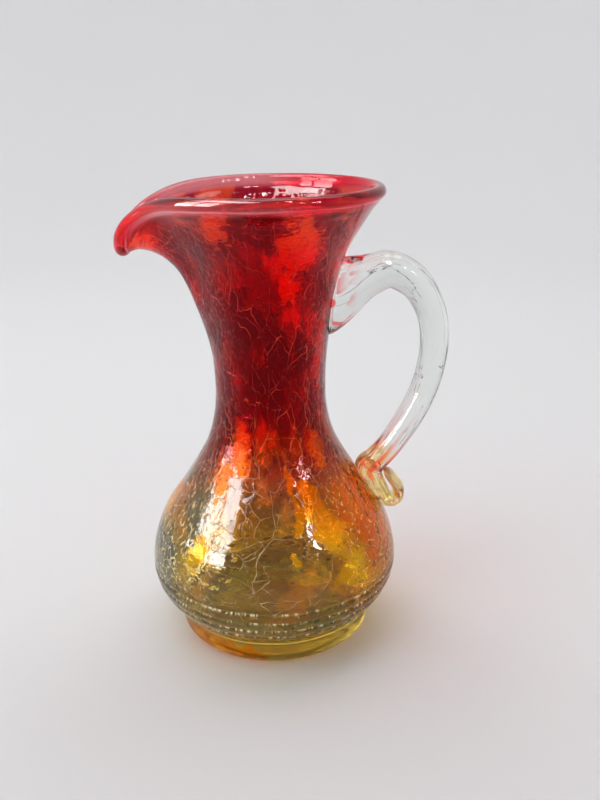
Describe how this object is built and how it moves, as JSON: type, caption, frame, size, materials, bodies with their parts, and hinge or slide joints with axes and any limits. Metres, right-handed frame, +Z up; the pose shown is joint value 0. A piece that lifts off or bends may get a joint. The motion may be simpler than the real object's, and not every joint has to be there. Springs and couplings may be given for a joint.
{
  "type": "glass pitcher",
  "caption": "Small round-bellied glass pitcher with a flared mouth, a pulled and turned-down pouring spout and a drawn loop handle with a folded tail.",
  "frame": {"origin": "centre of the ring the pitcher stands on, on the axis of the round body", "axes": "+Z up along the body's axis, +X towards the handle, -X towards the spout, Y across"},
  "size_m": [0.091, 0.0726, 0.13],
  "materials": {
    "vessel_glass": "glossy ruby glass that fades to amber at the foot, crackled",
    "handle_glass": "glossy clear glass"
  },
  "bodies": {
    "root": {"vessel": "vessel_glass", "handle": "handle_glass"}
  },
  "joints": []
}
